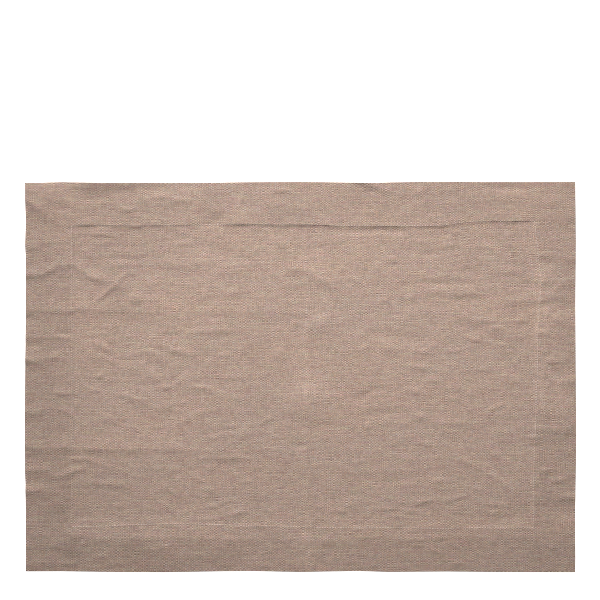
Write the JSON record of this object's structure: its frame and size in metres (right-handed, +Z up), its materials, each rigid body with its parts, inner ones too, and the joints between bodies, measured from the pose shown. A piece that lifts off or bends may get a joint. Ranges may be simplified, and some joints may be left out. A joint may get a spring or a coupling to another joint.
{
  "type": "fabric placemat",
  "caption": "Rectangular woven linen placemat lying flat, with a deep hem turned under all round, soft packing folds and light creases.",
  "frame": {"origin": "middle of the underside, on the plane that the mat lies on", "axes": "+X along the long sides, +Y along the short sides away from the viewer, +Z up through the cloth"},
  "size_m": [0.501, 0.355, 0.0026],
  "materials": {
    "linen_cloth": "matt plain weave",
    "sewing_thread": "matt twisted thread"
  },
  "bodies": {
    "root": {"placemat_cloth": "linen_cloth"}
  },
  "joints": []
}
